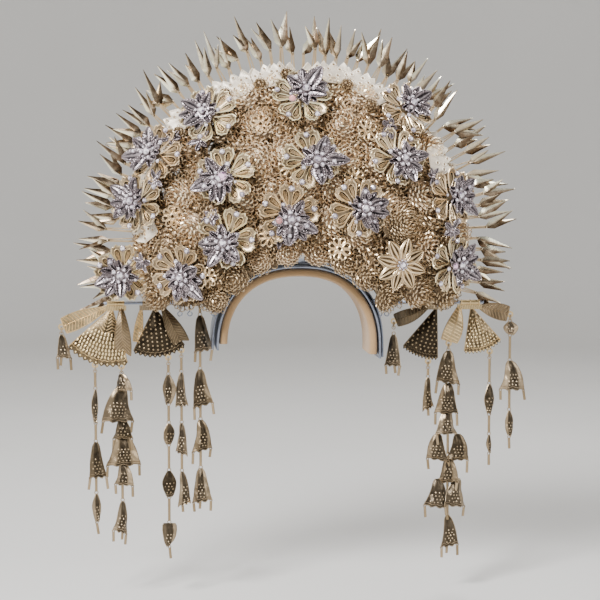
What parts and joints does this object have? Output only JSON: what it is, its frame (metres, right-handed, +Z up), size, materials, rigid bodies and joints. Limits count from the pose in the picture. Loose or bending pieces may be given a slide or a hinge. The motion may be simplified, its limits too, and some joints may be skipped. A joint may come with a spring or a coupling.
{
  "type": "bridal crown",
  "caption": "Fan-shaped bridal crown: padded head arch, wire frame, tiers of gilt rosettes and jewelled flowers, spike fringe, swinging side pendants with strings.",
  "frame": {"origin": "underside of the headband at the top of its arch, in the middle of its depth, where the crown sits on the head", "axes": "+X to the viewer's right, -Y to the front of the crown, +Z up"},
  "size_m": [0.4717, 0.118, 0.5323],
  "materials": {
    "band_cloth": "plain woven cloth",
    "frame_metal": "dull zinc-grey wire and strip",
    "gilt": "antique gilt filigree",
    "silver": "silver filigree over gilt, with cut stones",
    "pale_gilt": "pale bright gilt sheet",
    "old_gilt": "tarnished stamped gilt sheet"
  },
  "bodies": {
    "crown": {"headband": "band_cloth", "frame": "frame_metal", "rosette_tier_1": "gilt", "rosette_tier_2": "gilt", "rosette_tier_3": "gilt", "rosette_tier_4": "gilt", "rosette_tier_5": "gilt", "rosette_tier_6": "gilt", "large_flower_1": "silver", "large_flower_2": "silver", "large_flower_3": "silver", "large_flower_4": "silver", "large_flower_5": "silver", "large_flower_6": "silver", "large_flower_7": "silver", "large_flower_8": "silver", "large_flower_9": "silver", "large_flower_10": "silver", "large_flower_11": "silver", "large_flower_12": "silver", "large_flower_13": "silver", "large_flower_14": "silver", "large_flower_15": "silver", "gilt_flower": "gilt", "crest_plates": "pale_gilt", "spike_fringe": "pale_gilt", "left_inner_string": "old_gilt"},
    "left_outer_pendant": {"butterfly_left_outer": "old_gilt", "left_tip_drop": "old_gilt", "left_thin_string": "old_gilt", "left_broad_string": "old_gilt"},
    "left_inner_pendant": {"butterfly_left_inner": "old_gilt", "left_leaf_string": "old_gilt", "left_middle_string": "old_gilt"},
    "right_inner_pendant": {"butterfly_right_inner": "old_gilt", "right_tip_drop": "old_gilt", "right_short_string": "old_gilt"},
    "right_outer_pendant": {"butterfly_right_outer": "old_gilt", "right_broad_string": "old_gilt", "right_thin_string": "old_gilt", "right_end_string": "old_gilt"}
  },
  "joints": [
    {"name": "left_outer_pendant_swing", "type": "hinge", "parent": "crown", "child": "left_outer_pendant", "pos_m": [0, 0.002, -0.027], "axis": [1, 0, 0], "range_deg": [-35, 35]},
    {"name": "left_inner_pendant_swing", "type": "hinge", "parent": "crown", "child": "left_inner_pendant", "pos_m": [0, 0.002, -0.027], "axis": [1, 0, 0], "range_deg": [-35, 35]},
    {"name": "right_inner_pendant_swing", "type": "hinge", "parent": "crown", "child": "right_inner_pendant", "pos_m": [0, 0.002, -0.029], "axis": [1, 0, 0], "range_deg": [-35, 35]},
    {"name": "right_outer_pendant_swing", "type": "hinge", "parent": "crown", "child": "right_outer_pendant", "pos_m": [0, 0.002, -0.029], "axis": [1, 0, 0], "range_deg": [-35, 35]}
  ]
}
